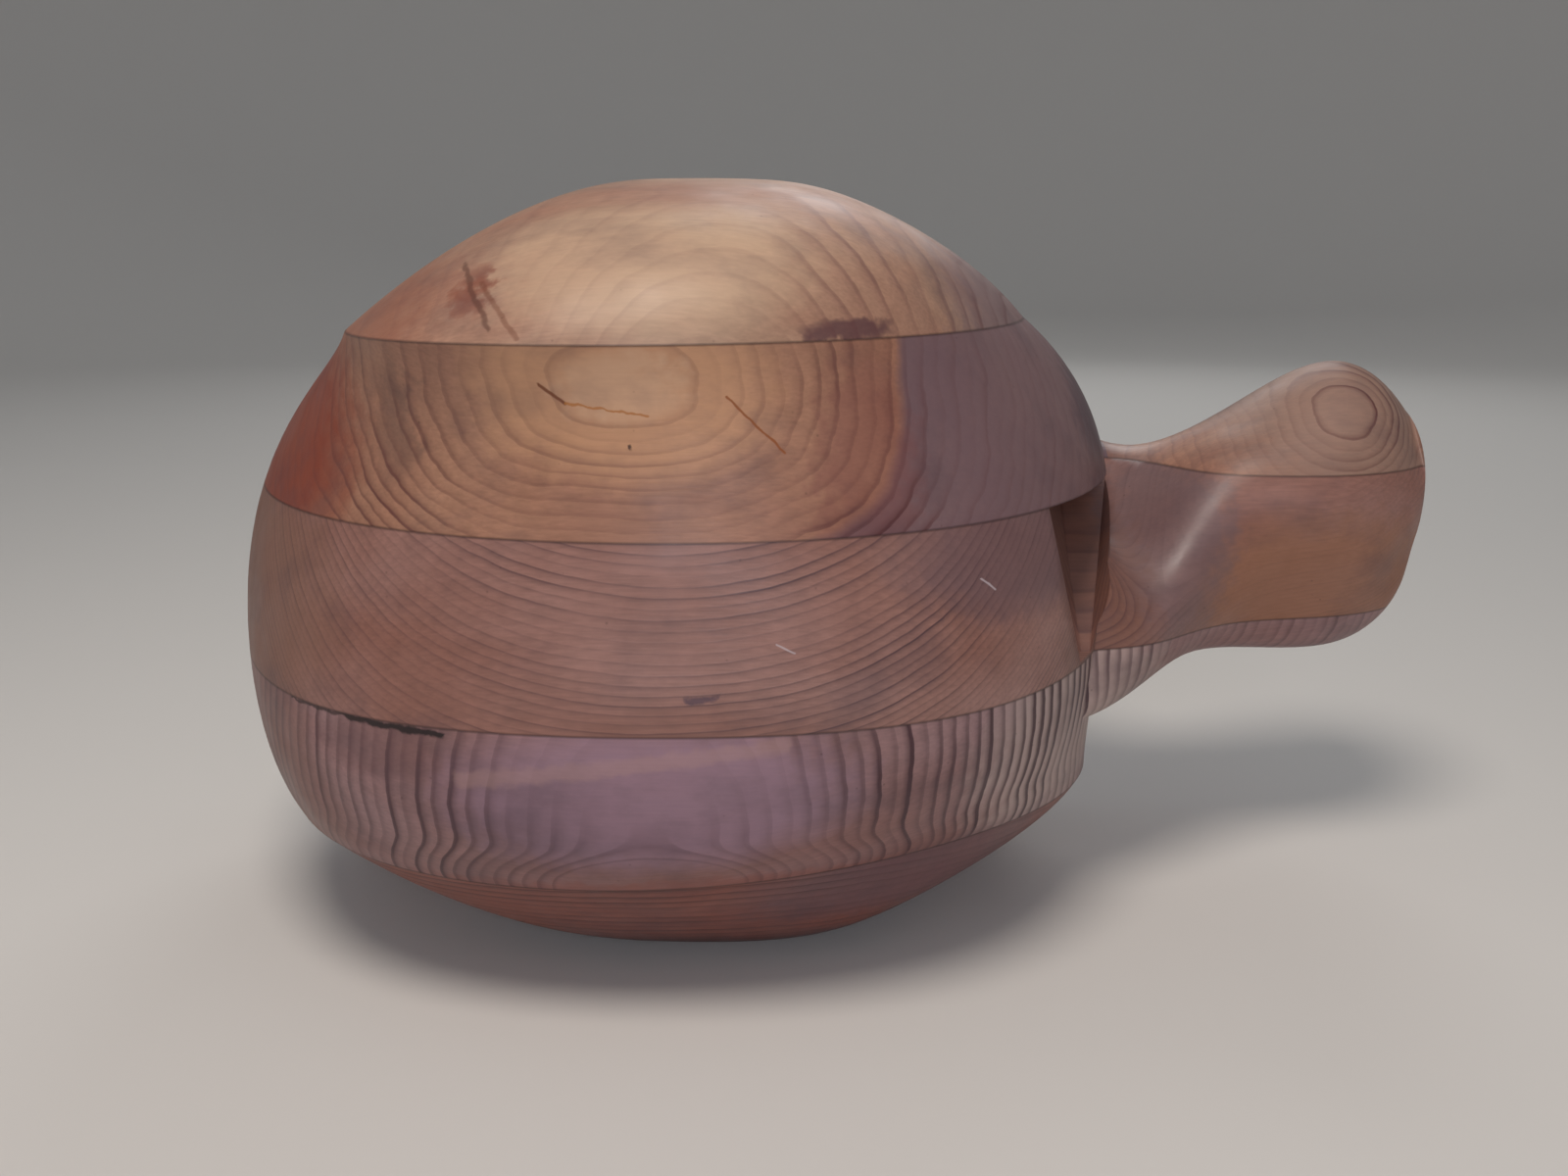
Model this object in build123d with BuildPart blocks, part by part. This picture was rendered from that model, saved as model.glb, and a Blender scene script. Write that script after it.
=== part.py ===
from build123d import *
import os

# Feed scoop carved from a block of five boards, glued face to face.
# It stands on its lower cheek with the boards level.
# +X runs from the toe of the bowl to the knob of the handle,
# +Y from the flattened back of the bowl to its mouth, +Z up through the boards.
# The origin is the middle of the footprint, on the floor.

# ---- driving dimensions, in millimetres ----
board = 38.0              # thickness of a dressed two-inch board, three in the middle
lower_cheek = 31.0        # what carving leaves of the lowest board
upper_cheek = 33.0        # what carving leaves of the highest board
depth = 138.0             # width of the boards, from the back of the bowl to its mouth
toe_reach = 113.0         # from the bowl's middle to its toe, at the mouth
heel_reach = 106.0        # from the bowl's middle to its heel, under the handle
handle_reach = 80.0       # from the heel to the end of the knob
wall = 13.0               # thickness of the bowl's wall at the toe and the cheeks
heel_wall = 30.0          # thickness of the bowl's wall where the handle grows out of it
back_wall = 17.0          # thickness of the wood behind the hollow
grip = 50.0               # thickness of the handle, up to the plane of the mouth
knob_top = 41.0           # top of the knob above the block's middle
gouge_foot = 18.0         # lowest point of the gouge at the neck, below the block's middle
sole_round = 4.0          # height over which the flat of the lower cheek rounds into its flank
lower_flank = 13.0        # height of the lower cheek's fullest curve
crown_round = 4.0         # drop over which the upper cheek rounds over its top
upper_flank = 15.0        # drop from the top to the upper cheek's fullest curve
side_fullness = 0.68      # how far down the hollow its side stays upright
floor_fullness = 0.62     # how far out from the middle the hollow's floor stays flat

# ---- sizes worked out from them ----
middle = lower_cheek + 1.5 * board
height = lower_cheek + 3 * board + upper_cheek
back = -depth / 2
mouth = depth / 2
glue_planes = [lower_cheek + board * step for step in range(4)]


def carved_outline(level, toe_inset, heel_inset, toe_turn, toe_knee, belly, heel_knee, heel_turn):
    """One level slice of the bowl's outside: toe wall, rounded back and heel wall.

    Insets are measured in from the bowl's full reach at the toe or the heel, and the
    turns are the depths at which the walls begin. Each knee is a point (inset, depth),
    and the belly is a point (from the bowl's middle, depth).
    """
    toe = toe_inset - toe_reach
    heel = heel_reach - heel_inset
    with BuildSketch(Plane.XY.offset(level)) as outline:
        with BuildLine():
            carved = Spline(
                (toe, mouth),
                (toe, back + toe_turn),
                (toe_knee[0] - toe_reach, back + toe_knee[1]),
                (belly[0], back + belly[1]),
                (heel_reach - heel_knee[0], back + heel_knee[1]),
                (heel, back + heel_turn),
                (heel, mouth),
            )
            Line(carved @ 1, carved @ 0)
        make_face()
    return outline.sketch


# ---- outside of the bowl, carved board by board so that a ridge stays at each cheek ----
lower_ridge = carved_outline(glue_planes[0], 12, 17, 66, (34, 33), (-14, 11), (48, 36), 65)
upper_ridge = carved_outline(glue_planes[3], 34, 27, 74, (53, 20), (-20, 4), (62, 28), 92)
below_back = [
    carved_outline(0, 93, 76, 74, (97, 54), (4, 48), (82, 54), 74),
    carved_outline(sole_round, 75, 61, 70, (84, 46), (0, 40), (73, 47), 74),
    carved_outline(lower_flank, 49, 38, 66, (64, 38), (-4, 28), (61, 40), 70),
    lower_ridge,
]
flat_back = [
    lower_ridge,
    carved_outline(glue_planes[1], 2, 6, 72, (35, 20), (-8, 0), (46, 16), 80),
    carved_outline(glue_planes[2], 6, 4, 80, (39, 29), (-8, 5), (50, 22), 94),
    upper_ridge,
]
above_back = [
    upper_ridge,
    carved_outline(height - upper_flank, 59, 48, 84, (71, 36), (-8, 20), (68, 38), 90),
    carved_outline(height - crown_round, 82, 71, 90, (89, 58), (-2, 50), (80, 58), 92),
    carved_outline(height, 100, 91, 100, (103, 86), (0, 82), (96, 86), 100),
]
with BuildPart() as bowl_form:
    for slices in (below_back, flat_back, above_back):
        loft(slices)


near = depth - grip       # depth of the handle's near face
end = heel_reach + handle_reach
lobe_base = board / 2     # upper glue plane above the block's middle, where the knob's upper lobe starts


def handle_slice(reach, low, high, inner, rim):
    """One slice across the handle, at a distance beyond the bowl's middle.

    low, high and inner are points (beyond the near face, height above the block's middle)
    of the underside, the top side and the near face. rim gives the two ends of the far
    face: how far it stops short of the mouth's plane, then its lowest and highest heights.
    """
    far = grip - rim[0]
    with BuildSketch(Plane.YZ.offset(reach)) as outline:
        with BuildLine():
            points = [(far, rim[1]), low, *inner, high, (far, rim[2])]
            carved = Spline(*[(back + near + y, middle + z) for y, z in points])
            Line(carved @ 1, carved @ 0)
        make_face()
    return outline.sketch


handle_slices = [
    handle_slice(heel_reach - 24, (10, -43), (26, lobe_base + 7),
                 [(-30, -36), (-34, -19), (2, 8)], (0, -42, 24)),
    handle_slice(heel_reach - 2, (8, -37), (30, lobe_base + 2),
                 [(-21, -30), (-24, -19), (20, 12)], (0, -38, 20)),
    handle_slice(heel_reach + 8, (16, -33), (24, lobe_base + 1),
                 [(-12, -28), (-18, -19), (8, 11)], (0, -35, 16)),
    handle_slice(heel_reach + 19, (18, -31), (14, lobe_base + 4),
                 [(-2, -26), (-9, -18), (-2, 14)], (0, -34, 16)),
    handle_slice(heel_reach + 39, (20, -31), (14, lobe_base + 14),
                 [(4, -25), (0, -17), (-3, 20)], (0, -36, 25)),
    handle_slice(heel_reach + 58, (24, -32), (16, knob_top),
                 [(10, -27), (3, -15), (0, 24)], (0, -36, 35)),
    handle_slice(heel_reach + 71, (26, -28), (22, 39),
                 [(14, -23), (7, -8), (7, 24)], (2, -27, 34)),
    handle_slice(end, (28, -12), (26, 31),
                 [(20, -8), (13, 2), (13, 20)], (6, -12, 29)),
]
with BuildPart() as handle_form:
    loft(handle_slices)

# ---- gouge cut that leaves the upper board overhanging the root of the handle ----
def gouge_slice(level, corners):
    """One level slice of the gouge cut, given as points (beyond the heel, depth)."""
    with BuildSketch(Plane.XY.offset(level)) as outline:
        with BuildLine():
            Polyline(*[(heel_reach + x, back + y) for x, y in corners], close=True)
        make_face()
    return outline.sketch


with BuildPart() as neck_gouge:
    loft([
        gouge_slice(glue_planes[2], [(-29, 34), (-20, near + 12), (-14, near + 24), (0, near + 24), (6, 34)]),
        gouge_slice(middle - gouge_foot, [(-20, 32), (-17, 56), (-16, 57), (-14, 57), (-6, 32)]),
    ])

# ---- hollow: a round bowl, drawn narrower across the boards than along them ----
hollow_length = (toe_reach - wall + heel_reach - heel_wall) / 2
hollow_middle = (heel_reach - heel_wall - toe_reach + wall) / 2
hollow_width = height / 2 - wall
hollow_depth = depth - back_wall
with BuildPart() as round_hollow:
    with BuildSketch(Plane.XY):
        with BuildLine():
            side = Bezier(
                (hollow_length, 0),
                (hollow_length, -side_fullness * hollow_depth),
                (floor_fullness * hollow_length, -hollow_depth),
                (0, -hollow_depth),
            )
            Polyline(side @ 1, (0, 0), side @ 0)
        make_face()
    revolve(axis=Axis.Y)
hollow = scale(round_hollow.part, by=(1, 1, hollow_width / hollow_length))
hollow = Pos(hollow_middle, mouth, height / 2) * hollow

with BuildPart() as scoop_form:
    add(bowl_form.part)
    add(handle_form.part)
    add(neck_gouge.part, mode=Mode.SUBTRACT)
    add(hollow, mode=Mode.SUBTRACT)

# ---- the five boards, cut apart at the glue planes and set over the origin ----
board_names = ["lower_cheek_board", "lower_board", "middle_board", "upper_board", "upper_cheek_board"]
board_bottoms = [0.0, *glue_planes]
board_tops = [*glue_planes, height]
span = 2 * (toe_reach + end)
over_origin = Pos(-scoop_form.part.bounding_box().center().X, 0, 0)

os.makedirs("parts", exist_ok=True)
for name, bottom, top in zip(board_names, board_bottoms, board_tops):
    with BuildPart() as carved_board:
        add(scoop_form.part)
        with Locations((0, 0, (bottom + top) / 2)):
            Box(span, depth, top - bottom, mode=Mode.INTERSECT)
    finished = over_origin * carved_board.part
    finished.label = name
    export_step(finished, f"parts/{name}.step")
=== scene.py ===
import math

import bmesh
import bpy
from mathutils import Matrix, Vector


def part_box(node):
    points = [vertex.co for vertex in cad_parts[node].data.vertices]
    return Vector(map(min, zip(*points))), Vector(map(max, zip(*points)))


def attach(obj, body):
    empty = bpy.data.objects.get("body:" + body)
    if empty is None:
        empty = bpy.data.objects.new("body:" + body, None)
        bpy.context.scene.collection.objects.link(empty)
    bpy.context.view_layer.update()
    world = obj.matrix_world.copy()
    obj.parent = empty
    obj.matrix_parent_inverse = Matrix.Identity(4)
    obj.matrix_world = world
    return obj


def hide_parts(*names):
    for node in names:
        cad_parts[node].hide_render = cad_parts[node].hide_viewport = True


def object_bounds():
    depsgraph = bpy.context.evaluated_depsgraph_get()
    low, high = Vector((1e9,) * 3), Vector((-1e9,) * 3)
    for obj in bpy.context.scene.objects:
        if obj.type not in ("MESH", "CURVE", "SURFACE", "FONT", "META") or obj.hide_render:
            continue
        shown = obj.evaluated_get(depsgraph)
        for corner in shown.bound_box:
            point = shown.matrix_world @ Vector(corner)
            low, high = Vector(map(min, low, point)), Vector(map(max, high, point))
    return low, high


# A feed scoop carved from five softwood boards glued face to face. Metres throughout.
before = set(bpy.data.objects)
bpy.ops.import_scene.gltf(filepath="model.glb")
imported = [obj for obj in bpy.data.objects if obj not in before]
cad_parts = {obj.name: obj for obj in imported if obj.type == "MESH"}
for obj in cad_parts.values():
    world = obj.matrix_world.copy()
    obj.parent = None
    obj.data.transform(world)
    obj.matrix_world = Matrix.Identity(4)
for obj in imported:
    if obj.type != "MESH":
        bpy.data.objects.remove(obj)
cad_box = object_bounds()
MM = 0.001

BOARDS = ["lower_cheek_board", "lower_board", "middle_board", "upper_board", "upper_cheek_board"]
low, high = [Vector(corner) for corner in cad_box]
seams = [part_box(name)[0][2] for name in BOARDS[1:]]     # heights of the four glue planes
bowl_x = low.x + 116.5 * MM                             # the bowl's middle, behind its toe
back_y = low.y                                          # the flattened back of the bowl
block_middle = (seams[1] + seams[2]) / 2                # middle of the middle board
NECK = 107.0                                            # millimetres from the bowl's middle to the neck


# ---------------------------------------------------------------- colours and nodes
def srgb(code):
    """Linear colour of an sRGB hex value."""
    parts = [int(code[i:i + 2], 16) / 255 for i in (0, 2, 4)]
    return [c / 12.92 if c <= 0.04045 else ((c + 0.055) / 1.055) ** 2.4 for c in parts] + [1.0]


def add(tree, kind, settings=None, **links):
    """Adds a node. Settings are its own properties, links are values or sockets by input name."""
    node = tree.nodes.new(kind)
    for key, value in (settings or {}).items():
        setattr(node, key, value)
    for key, value in links.items():
        socket = node.inputs[int(key[1:])] if key[0] == "i" and key[1:].isdigit() else node.inputs[key]
        if isinstance(value, bpy.types.NodeSocket):
            tree.links.new(value, socket)
        else:
            socket.default_value = value
    return node


def maths(tree, operation, a, b=0.0, c=0.0):
    """One arithmetic step on numbers or sockets."""
    return add(tree, "ShaderNodeMath", {"operation": operation}, i0=a, i1=b, i2=c).outputs[0]


def ramp(tree, value, stops, smooth="LINEAR"):
    """A colour ramp through (position, colour) stops."""
    node = add(tree, "ShaderNodeValToRGB", i0=value)
    node.color_ramp.interpolation = smooth
    while len(node.color_ramp.elements) < len(stops):
        node.color_ramp.elements.new(0.5)
    for element, (place, colour) in zip(node.color_ramp.elements, stops):
        element.position = place
        element.color = colour
    return node.outputs[0]


def grey(level):
    return (level, level, level, 1.0)


def blend(tree, amount, first, second, how="MIX"):
    node = add(tree, "ShaderNodeMix", {"data_type": "RGBA", "blend_type": how, "clamp_factor": True})
    for socket, value in ((node.inputs[0], amount), (node.inputs[6], first), (node.inputs[7], second)):
        if isinstance(value, bpy.types.NodeSocket):
            tree.links.new(value, socket)
        else:
            socket.default_value = value
    return node.outputs[2]


def noise(tree, place, scale, detail=3.0, stretch=(1, 1, 1), shift=(0, 0, 0), rough=0.5):
    """Noise whose features are about 1/scale millimetres across, drawn out where stretch is under 1."""
    spread = add(tree, "ShaderNodeMapping", Vector=place, Location=shift, Scale=stretch)
    return add(tree, "ShaderNodeTexNoise", Vector=spread.outputs[0], Scale=scale, Detail=detail,
               Roughness=rough).outputs[0]


def remap(tree, value, low_in, high_in, low_out, high_out, how="LINEAR"):
    """Carries one range of values onto another and holds its ends."""
    return add(tree, "ShaderNodeMapRange", {"interpolation_type": how}, i0=value, i1=low_in, i2=high_in,
               i3=low_out, i4=high_out).outputs[0]


def spot(tree, axes, centre, reach, edge):
    """1 inside an ellipsoid about a place, falling to 0 at its edge."""
    total = 0.0
    for axis, middle, half in zip(axes, centre, reach):
        away = maths(tree, "DIVIDE", maths(tree, "SUBTRACT", axis, middle), half)
        total = maths(tree, "ADD", maths(tree, "MULTIPLY", away, away), total)
    return remap(tree, total, 1 - edge, 1 + edge, 1.0, 0.0, "SMOOTHSTEP")


# ---------------------------------------------------------------- the wood
# Every layer function takes a place in millimetres and gives the growth layer there, also in millimetres.
def place_in_block(tree):
    """Place in millimetres: x from the bowl's middle, s from its back, z from the block's middle."""
    coords = add(tree, "ShaderNodeTexCoord").outputs["Object"]
    moved = add(tree, "ShaderNodeVectorMath", {"operation": "SUBTRACT"}, i0=coords,
                i1=(bowl_x, back_y, block_middle)).outputs[0]
    grown = add(tree, "ShaderNodeVectorMath", {"operation": "SCALE"}, i0=moved, Scale=1 / MM).outputs[0]
    split = add(tree, "ShaderNodeSeparateXYZ", i0=grown)
    return grown, split.outputs[0], split.outputs[1], split.outputs[2]


def rounded_ring(tree, x, z, centre, stretch, power):
    """Size of the ring through a place: an ellipse at power 2, squarer at a higher power."""
    across = maths(tree, "ABSOLUTE", maths(tree, "DIVIDE", maths(tree, "SUBTRACT", x, centre[0]), stretch))
    up = maths(tree, "ABSOLUTE", maths(tree, "SUBTRACT", z, centre[1]))
    total = maths(tree, "ADD", maths(tree, "POWER", across, power), maths(tree, "POWER", up, power))
    return maths(tree, "POWER", total, 1 / power)


def layers_bullseyes(tree, x, s, z):
    """Rings round one heart on the bowl's back and another on the knob."""
    bowl = rounded_ring(tree, x, z, (-11, 49), 1.9, 2.6)
    knob = maths(tree, "SUBTRACT", rounded_ring(tree, x, z, (162, 35), 1.35, 2.0), 17.5)
    rings = remap(tree, x, NECK - 1, NECK + 1, bowl, knob)
    return maths(tree, "MULTIPLY_ADD", s, 0.22, rings)


def layers_tilted(across, deeper):
    """Flat growth layers, tilted between the board's face and its depth."""
    def layers(tree, x, s, z):
        return maths(tree, "MULTIPLY_ADD", s, deeper, maths(tree, "MULTIPLY", z, across))
    return layers


def layers_heel_arcs(tree, x, s, z):
    """Rings that arch over the heel side of the upper cheek."""
    return maths(tree, "MULTIPLY_ADD", s, -0.12, rounded_ring(tree, x, z, (5, 44), 1.0, 2.0))


def layers_arches(tree, x, s, z):
    """Steep layers that close over one low arch on the lower ridge."""
    arch_x, arch_foot, arch_half, arch_rise = -8.0, -57.0, 26.0, 11.0
    up = maths(tree, "MAXIMUM", maths(tree, "SUBTRACT", z, arch_foot), 0.0)
    closing = maths(tree, "SMOOTH_MIN", maths(tree, "DIVIDE", up, arch_rise), 1.0, 0.4)
    cap = maths(tree, "MULTIPLY", closing, arch_half)
    slope = maths(tree, "MULTIPLY", up, 0.55)
    across = maths(tree, "SUBTRACT", x, arch_x)
    squares = maths(tree, "ADD", maths(tree, "MULTIPLY", cap, cap), maths(tree, "MULTIPLY", slope, slope))
    squares = maths(tree, "MULTIPLY_ADD", across, across, squares)
    return maths(tree, "MULTIPLY_ADD", s, 0.35, maths(tree, "SQRT", squares))


def seam_dirt(tree, z):
    """1 on each glue plane, falling to 0 over a fraction of a millimetre."""
    total = 0.0
    for seam in seams:
        away = maths(tree, "ABSOLUTE", maths(tree, "SUBTRACT", z, (seam - block_middle) / MM))
        total = maths(tree, "MAXIMUM", remap(tree, away, 0.08, 0.42, 1.0, 0.0), total)
    return total


def stroke(tree, x, z, start, end, half_width):
    """1 along a straight line between two places on the back, falling to 0 at its edges."""
    span = (end[0] - start[0], end[1] - start[1])
    length_squared = span[0] ** 2 + span[1] ** 2
    from_x = maths(tree, "SUBTRACT", x, start[0])
    from_z = maths(tree, "SUBTRACT", z, start[1])
    along = maths(tree, "MULTIPLY_ADD", from_x, span[0], maths(tree, "MULTIPLY", from_z, span[1]))
    share = add(tree, "ShaderNodeMath", {"operation": "DIVIDE", "use_clamp": True}, i0=along,
                i1=length_squared).outputs[0]
    off_x = maths(tree, "MULTIPLY_ADD", share, -span[0], from_x)
    off_z = maths(tree, "MULTIPLY_ADD", share, -span[1], from_z)
    squares = maths(tree, "MULTIPLY_ADD", off_x, off_x, maths(tree, "MULTIPLY", off_z, off_z))
    away = maths(tree, "SQRT", squares)
    return remap(tree, away, half_width * 0.3, half_width, 1.0, 0.0, "SMOOTHSTEP")


def paint(tree, colour, amount, code):
    """Lays an sRGB colour over another by an amount."""
    return blend(tree, amount, colour, srgb(code))


def softwood(name, layers, spacing, pale, warm, late, strength, wobble, late_share=0.2, heart=None,
             stronger=(), heel_wall_shade=None, stains_and_painted_light=(), marks_and_painted_light=(), dents=()):
    """Old oiled fir, rubbed to a satin: pale early wood, thin dark late wood, grime in patches.

    spacing is millimetres per ring, late_share how much of it is late wood, and strength how
    dark that is. wobble is how far the rings wander. Inside the layer heart there are none.
    stronger lists places (centre, reach, gain) with darker rings. The heel-wall shade, (layer, colour,
    weight), lays painted shade over the wood outside one ring on the heel side of the bowl. The stain
    list holds (centre, reach, colour, weight), some entries painted shade and some painted highlights;
    the mark list holds (start, end, half width, colour, weight), one entry a painted highlight and two
    painted shade along an open glue joint; dents are (centre, reach, depth), all in millimetres.
    """
    material = bpy.data.materials.new(name)
    material.use_nodes = True
    tree = material.node_tree
    tree.nodes.clear()
    where, x, s, z = place_in_block(tree)

    # rings, wandering a little as growth does
    drift = maths(tree, "SUBTRACT", noise(tree, where, 0.018, 2.0, (0.6, 1, 1)), 0.5)
    ripple = maths(tree, "SUBTRACT", noise(tree, where, 0.11, 3.0, (0.5, 1, 1), (7, 3, 1)), 0.5)
    level = maths(tree, "MULTIPLY_ADD", drift, wobble * 4, layers(tree, x, s, z))
    level = maths(tree, "MULTIPLY_ADD", ripple, wobble, level)
    turns = maths(tree, "DIVIDE", level, spacing)
    ring = maths(tree, "FRACT", turns)
    which = maths(tree, "FLOOR", turns)
    chance = add(tree, "ShaderNodeTexWhiteNoise", {"noise_dimensions": "1D"}, W=which).outputs[0]
    late_end = 0.95
    late_start = late_end - late_share
    line = ramp(tree, ring, [(0.0, grey(0.0)), (late_start * 0.5, grey(0.06)), (late_start, grey(0.5)),
                             ((late_start + late_end) / 2, grey(1.0)), (late_end, grey(0.85)),
                             (1.0, grey(0.0))])
    patches = noise(tree, where, 0.022, 2.0, (0.7, 1, 1), (31, 8, 5))
    patchy = ramp(tree, patches, [(0.32, grey(0.3)), (0.62, grey(1.0))])
    darkness = maths(tree, "MULTIPLY", maths(tree, "MULTIPLY_ADD", chance, 0.8, 0.35), strength)
    for centre, reach, gain in stronger:
        more = maths(tree, "MULTIPLY_ADD", spot(tree, (x, s, z), centre, reach, 0.8), gain, 1.0)
        darkness = maths(tree, "MULTIPLY", darkness, more)
    if heart:
        darkness = maths(tree, "MULTIPLY", darkness, remap(tree, level, heart - 1.0, heart, 0.0, 1.0))
    amount = maths(tree, "MULTIPLY", maths(tree, "MULTIPLY", line, darkness), patchy)
    amount = maths(tree, "MINIMUM", amount, 0.95)

    # ground colour, painted shade on the heel side, stain patches with ragged edges (some of them painted
    # shade and painted highlights), fibres and late wood
    wander = maths(tree, "SUBTRACT", noise(tree, where, 0.3, 3.0, (1, 1, 1), (17, 3, 9)), 0.5)
    ragged = noise(tree, where, 0.12, 4.0, (0.6, 1, 1), (23, 7, 2), 0.6)
    ragged_x = maths(tree, "MULTIPLY_ADD", wander, 14.0, x)
    ragged_z = maths(tree, "MULTIPLY_ADD", wander, 5.0, z)
    ground = noise(tree, where, 0.03, 3.0, (0.5, 1, 1), (2, 9, 4))
    fibre = noise(tree, where, 1.6, 2.0, (0.05, 1, 1), (0, 4, 0))
    mottle = noise(tree, where, 0.3, 4.0, (0.6, 1, 1), (11, 2, 6), 0.6)
    colour = ramp(tree, ground, [(0.32, srgb(pale)), (0.7, srgb(warm))])
    colour = blend(tree, 1.0, colour, ramp(tree, fibre, [(0.3, grey(0.84)), (0.7, grey(1.0))]), "MULTIPLY")
    colour = blend(tree, 1.0, colour, ramp(tree, mottle, [(0.3, grey(0.86)), (0.65, grey(1.0))]), "MULTIPLY")
    # painted shade: purple-grey over the wood outside one ring on the heel side of the bowl, which turns
    # away from the light
    if heel_wall_shade:
        edge, tint, weight = heel_wall_shade
        heel_shade_amount = remap(tree, level, edge, edge + 1.5, 0.0, weight)
        heelward = maths(tree, "GREATER_THAN", x, 0.0)
        on_bowl = maths(tree, "LESS_THAN", x, NECK)
        heel_shade_amount = maths(tree, "MULTIPLY", maths(tree, "MULTIPLY", heel_shade_amount, heelward), on_bowl)
        colour = paint(tree, colour, heel_shade_amount, tint)
    # stain patches, among them painted shade and painted highlights
    for centre, reach, tint, weight in stains_and_painted_light:
        body = maths(tree, "MULTIPLY", spot(tree, (ragged_x, s, ragged_z), centre, reach, 0.95), 1.5)
        torn = add(tree, "ShaderNodeMath", {"operation": "MULTIPLY_ADD", "use_clamp": True}, i0=ragged,
                   i1=-0.7, i2=body).outputs[0]
        colour = paint(tree, colour, maths(tree, "MULTIPLY", torn, weight), tint)
    colour = paint(tree, colour, amount, late)

    # grime, pin specks, scratches, a painted highlight streak and painted shade along an open glue joint,
    # and dirt in the glue lines
    dirt = noise(tree, where, 0.05, 5.0, (0.6, 1, 1), (13, 1, 22), 0.62)
    colour = paint(tree, colour, ramp(tree, dirt, [(0.5, grey(0.0)), (0.72, grey(0.4))]), "4b3a42")
    specks = add(tree, "ShaderNodeTexVoronoi", {"feature": "F1"}, Vector=where, Scale=0.16).outputs[0]
    colour = paint(tree, colour, ramp(tree, specks, [(0.02, grey(0.35)), (0.06, grey(0.0))]), "3c241e")
    bent_x = maths(tree, "MULTIPLY_ADD", wander, 4.0, x)
    bent_z = maths(tree, "MULTIPLY_ADD", wander, -2.5, z)
    # marks, among them a painted highlight streak and painted shade along an open glue joint
    for start, end, half_width, tint, weight in marks_and_painted_light:
        mark = maths(tree, "MULTIPLY", stroke(tree, bent_x, bent_z, start, end, half_width), weight)
        on_back = maths(tree, "LESS_THAN", s, 60.0)
        colour = paint(tree, colour, maths(tree, "MULTIPLY", mark, on_back), tint)
    colour = paint(tree, colour, maths(tree, "MULTIPLY", seam_dirt(tree, z), 0.6), "2e1c1a")

    # tool facets, raised grain and rubbed patches
    tooled = noise(tree, where, 0.06, 1.5, (0.5, 1, 1), (3, 3, 3))
    height = maths(tree, "MULTIPLY_ADD", tooled, 1.2, maths(tree, "MULTIPLY", fibre, 0.06))
    height = maths(tree, "MULTIPLY_ADD", amount, 0.07, height)
    for centre, reach, dip in dents:
        height = maths(tree, "MULTIPLY_ADD", spot(tree, (x, s, z), centre, reach, 0.9), -dip, height)
    bump = add(tree, "ShaderNodeBump", Strength=0.4, Distance=0.0012, Height=height).outputs[0]
    rubbed = noise(tree, where, 0.06, 4.0, (1, 1, 1), (5, 5, 5))
    rough = ramp(tree, rubbed, [(0.3, grey(0.36)), (0.7, grey(0.56))])
    shader = add(tree, "ShaderNodeBsdfPrincipled", Roughness=rough, Normal=bump, **{"Base Color": colour})
    shader.inputs["IOR"].default_value = 1.46
    add(tree, "ShaderNodeOutputMaterial", Surface=shader.outputs[0])
    return material


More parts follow.
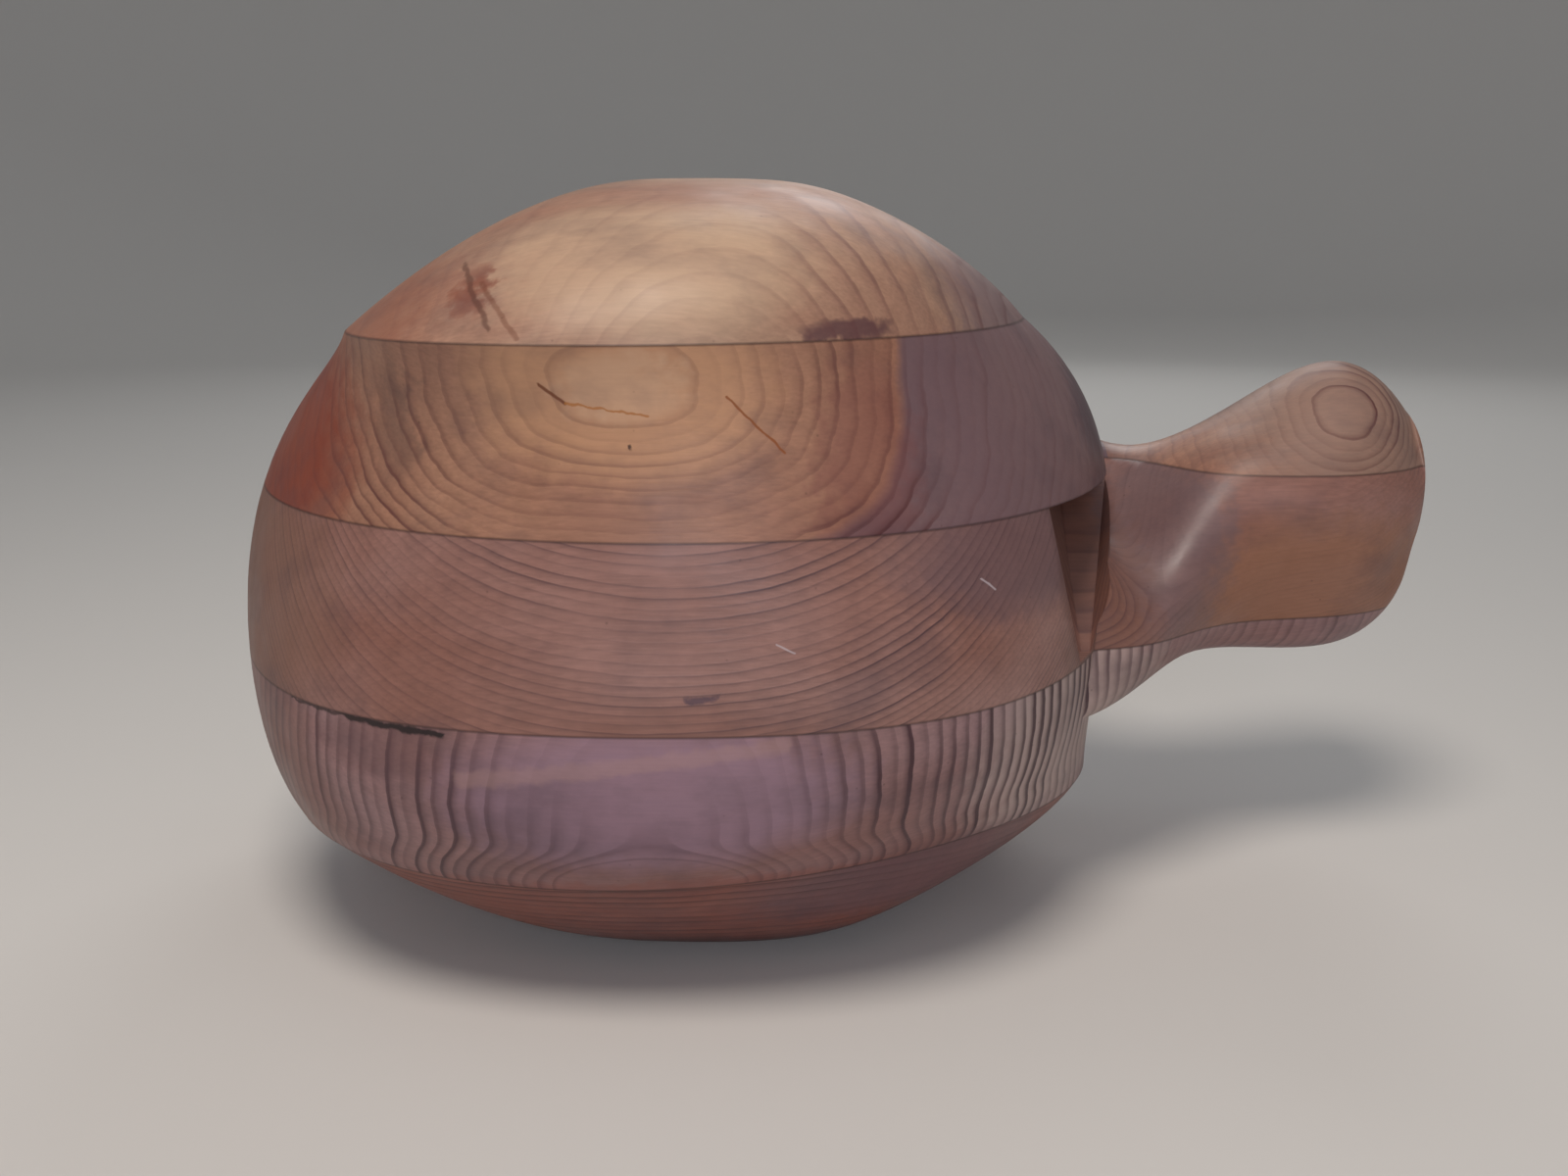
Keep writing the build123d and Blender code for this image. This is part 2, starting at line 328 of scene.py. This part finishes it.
woods = {
    # palest board: faint but for arcs by the heel, rust round a knot, a purple stain on the glue line, a
    # painted highlight on the top of the dome and painted shade on the heel side
    "upper_cheek_board": softwood(
        "rubbed_fir_top", layers_heel_arcs, 3.4, "b4927a", "a27460", "60393a", 0.2, 2.0,
        stronger=[((62, 36, 66), (36, 60, 36), 4.5)],
        # the first entry, a pale patch on the top of the dome, is a painted highlight
        stains_and_painted_light=[((-8, 20, 72), (34, 26, 16), "c9ac8e", 0.5), ((-78, 40, 58), (34, 50, 24), "8a4c38", 0.55),
                ((-40, 24, 64), (5, 12, 7), "7c3a26", 0.75), ((35, 16, 59), (11, 14, 2.4), "4a2c38", 0.75),
                # painted shade: a grey-purple patch on the heel side, which turns away from the light
                ((84, 70, 62), (32, 50, 30), "6c5c66", 0.7)],
        marks_and_painted_light=[((-44, 71), (-36, 60), 0.9, "4e2a1e", 0.6), ((-39, 68), (-30, 58), 0.7, "6a3822", 0.5)]),
    # a bull's-eye in the face, red end grain at the toe, and painted shade in purple-grey over the heel side
    # outside one ring and where the bowl meets the neck
    "upper_board": softwood(
        "rubbed_fir_bullseye", layers_bullseyes, 2.4, "b2846a", "9c6c58", "562c2c", 0.42, 2.6, 0.26,
        heart=8.5,
        stronger=[((38, 12, 36), (15, 20, 30), 2.6), ((-62, 20, 36), (18, 26, 26), 1.2),
                  ((166, 90, 34), (16, 40, 14), 1.2)],
        # painted shade: purple-grey over the heel side outside one ring
        heel_wall_shade=(34.0, "66545e", 0.8),
        stains_and_painted_light=[((-11, 4, 48), (34, 14, 18), "cc9a72", 0.6), ((-11, 4, 49), (13, 12, 7), "cca586", 0.6),
                ((38, 12, 36), (12, 16, 24), "784440", 0.5),
                ((-100, 50, 36), (34, 44, 28), "84341f", 0.85), ((-60, 14, 40), (8, 12, 14), "54423e", 0.5),
                # painted shade: the first entry here, dark purple-grey where the bowl's back meets the neck
                ((104, 90, 40), (16, 50, 34), "3e3440", 0.6), ((165, 110, 30), (34, 60, 26), "8c7a70", 0.5)],
        marks_and_painted_light=[((9, 47), (20, 36), 0.35, "8a4a1e", 0.9), ((-26, 49), (-22, 46), 0.5, "6a3418", 0.9),
                 ((-22, 46), (-6, 43.5), 0.35, "a8682c", 0.8),
                 ((-9.4, 37.4), (-9.3, 37.4), 0.7, "3c2018", 0.9)]),
    # fine even rings in a smile; under the heel, painted shadow in the recess below the upper board's
    # overhang and on the neck beside it
    "middle_board": softwood(
        "flat_sawn_fir", layers_tilted(1.0, -1.0), 1.75, "a47c72", "8e6052", "3e2830", 0.55, 0.8,
        stronger=[((16, 6, 2), (60, 20, 24), 0.7), ((146, 100, 0), (44, 60, 30), -0.75)],
        stains_and_painted_light=[((-104, 50, 0), (34, 60, 26), "7e5a48", 0.6), ((156, 92, -8), (40, 50, 18), "93603c", 0.55),
                # painted shadow: grey-purple on the neck and in the recess under the upper board's overhang
                ((116, 80, 4), (16, 60, 24), "62545a", 0.6), ((74, 30, 12), (36, 34, 14), "5e4c54", 0.6),
                ((96, 60, -4), (16, 50, 30), "6e4a3c", 0.5), ((4, 4, -11), (3.5, 8, 1.2), "3e3044", 0.7)],
        marks_and_painted_light=[((61, 8), (64, 5.5), 0.28, "c8bcc0", 0.6), ((19, -1), (22, -2.5), 0.28, "c8bcc0", 0.5)]),
    # steep bold rings by the heel, one arch on the ridge, a pale painted highlight streak across the face,
    # and a chip along the glue line by the toe with painted shade in its hollow and its open joint
    "lower_board": softwood(
        "steep_grained_fir", layers_arches, 3.3, "a68484", "906660", "40222a", 0.5, 1.5, 0.34,
        heart=26.0,
        stronger=[((80, 30, -36), (42, 60, 34), 2.6), ((-70, 30, -40), (34, 40, 30), 0.8),
                  ((-8, 2, -29), (30, 14, 13), -0.85)],
        stains_and_painted_light=[((-6, 2, -34), (46, 14, 18), "9c8094", 0.6), ((86, 50, -34), (32, 50, 28), "b8a29a", 0.75),
                ((-100, 50, -40), (30, 50, 28), "82594a", 0.5), ((0, 14, -58), (70, 18, 4), "8a4a3a", 0.5),
                # painted shade in the chip's hollow by the toe, over the dent at the same place
                ((-62, 14, -25), (16, 16, 6), "6e4c4a", 0.5)],
        # painted highlight: the first entry, a pale streak across the face
        marks_and_painted_light=[((-45, -29.6), (20, -21), 2.6, "bc9486", 0.25),
                 # painted shade: these two dark lines stand for the open glue joint at the chip
                 ((-70, -19.4), (-49, -20.2), 1.0, "1c1012", 0.95),
                 ((-86, -19.2), (-66, -19.6), 0.5, "2e1c1a", 0.8)],
        dents=[((-62, 14, -24), (18, 14, 7), 0.9)]),
    # straight close grain; the darkest palette of the five, partly the board's own colour and partly painted
    # shade where the board faces down away from the light, and a painted shade band along the bottom edge
    "lower_cheek_board": softwood(
        "straight_grained_fir", layers_tilted(1.0, 0.12), 1.9, "98685c", "864e44", "402424", 0.7, 1.0,
        stains_and_painted_light=[((46, 40, -62), (44, 40, 12), "564a56", 0.5), ((-60, 40, -66), (40, 30, 20), "8a5446", 0.5),
                # painted shade: the dark band along the bottom edge, which faces down
                ((0, 60, -90), (90, 60, 12), "4c3230", 0.6)]),
}


# ---------------------------------------------------------------- the boards
MERGE_DISTANCE = 0.004 * MM
SHARP_ANGLE = math.radians(38)      # edges sharper than this keep a crease


def smooth_but_creased(mesh):
    """Rounds the shading of a mesh except over its sharp edges."""
    shape = bmesh.new()
    shape.from_mesh(mesh)
    bmesh.ops.remove_doubles(shape, verts=shape.verts, dist=MERGE_DISTANCE)
    for face in shape.faces:
        face.smooth = True
    for edge in shape.edges:
        edge.smooth = len(edge.link_faces) == 2 and edge.calc_face_angle(0.0) < SHARP_ANGLE
    shape.to_mesh(mesh)
    shape.free()


for name in BOARDS:
    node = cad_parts[name]
    piece = bpy.data.objects.new(name + "_carved", node.data.copy())
    bpy.context.scene.collection.objects.link(piece)
    piece.data.materials.clear()
    piece.data.materials.append(woods[name])
    smooth_but_creased(piece.data)
    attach(piece, "root")
    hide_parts(name)


# ---------------------------------------------------------------- floor, light and camera
def plain_surface(name, code, rough):
    """One even colour and roughness."""
    material = bpy.data.materials.new(name)
    material.use_nodes = True
    shader = material.node_tree.nodes["Principled BSDF"]
    shader.inputs["Base Color"].default_value = srgb(code)
    shader.inputs["Roughness"].default_value = rough
    return material


def round_room():
    """A pale paper floor, flat under the scoop and curved up into a wall all round it."""
    sheet = bmesh.new()
    flat = 1.7              # radius of the level part
    bend = 0.9              # radius of the curve up to the wall
    wall_top = 2.6
    arc_steps = 14
    turns = 96
    line = [sheet.verts.new((0.0, 0.0, 0.0)), sheet.verts.new((flat, 0.0, 0.0))]
    for step in range(1, arc_steps + 1):
        turn = math.pi / 2 * step / arc_steps
        line.append(sheet.verts.new((flat + bend * math.sin(turn), 0.0, bend * (1 - math.cos(turn)))))
    line.append(sheet.verts.new((flat + bend, 0.0, wall_top)))
    profile = line + [sheet.edges.new(pair) for pair in zip(line, line[1:])]
    bmesh.ops.spin(sheet, geom=profile, cent=(0, 0, 0), axis=(0, 0, 1), angle=math.tau, steps=turns,
                   use_duplicate=False)
    bmesh.ops.remove_doubles(sheet, verts=sheet.verts, dist=MERGE_DISTANCE)
    bmesh.ops.recalc_face_normals(sheet, faces=sheet.faces)
    for face in sheet.faces:
        face.smooth = True
    mesh = bpy.data.meshes.new("paper_room")
    sheet.to_mesh(mesh)
    sheet.free()
    mesh.materials.append(plain_surface("pale_paper", "d9d7d3", 0.9))
    room = bpy.data.objects.new("paper_room", mesh)
    bpy.context.scene.collection.objects.link(room)


def soft_lamp(name, place, aim, across, watts, tint="ffffff"):
    """A round area lamp that faces a place."""
    light = bpy.data.lights.new(name, "AREA")
    light.shape = "DISK"
    light.size = across
    light.energy = watts
    light.color = srgb(tint)[:3]
    lamp = bpy.data.objects.new(name, light)
    lamp.location = place
    lamp.rotation_euler = (Vector(aim) - Vector(place)).to_track_quat("-Z", "Y").to_euler()
    bpy.context.scene.collection.objects.link(lamp)


round_room()
centre = (low + high) / 2
soft_lamp("overhead", (-0.1, -0.32, 0.8), centre, 0.3, 3.6, "fff4ea")
soft_lamp("front_fill", (0.05, -1.5, 0.55), centre, 0.7, 6.5, "eef1ff")
soft_lamp("rear_fill", (0.3, 1.3, 1.0), centre, 0.9, 4.0)

world = bpy.data.worlds.new("plain_room")
bpy.context.scene.world = world
world.use_nodes = True
background = world.node_tree.nodes["Background"]
background.inputs["Color"].default_value = srgb("e9ecf2")
background.inputs["Strength"].default_value = 0.3

CAMERA_PITCH = 13.94            # degrees below level
CAMERA_REACH = 264 * MM         # from the camera to the bowl's flattened back
CAMERA_RIGHT = 20 * MM          # camera stands this far towards the handle
CAMERA_ABOVE = 77 * MM          # above the block's middle
SENSOR_WIDTH = 36.0             # millimetres
LENS = 32.625                   # millimetres, a little wider than normal
camera_data = bpy.data.cameras.new("camera")
camera_data.sensor_width = SENSOR_WIDTH
camera_data.lens = LENS
camera_data.clip_start = 0.01
camera = bpy.data.objects.new("camera", camera_data)
camera.location = (bowl_x + CAMERA_RIGHT, back_y - CAMERA_REACH, block_middle + CAMERA_ABOVE)
camera.rotation_euler = (math.radians(90 - CAMERA_PITCH), 0, 0)
bpy.context.scene.collection.objects.link(camera)
bpy.context.scene.camera = camera
bpy.context.scene.view_settings.view_transform = "Standard"

bpy.context.view_layer.update()
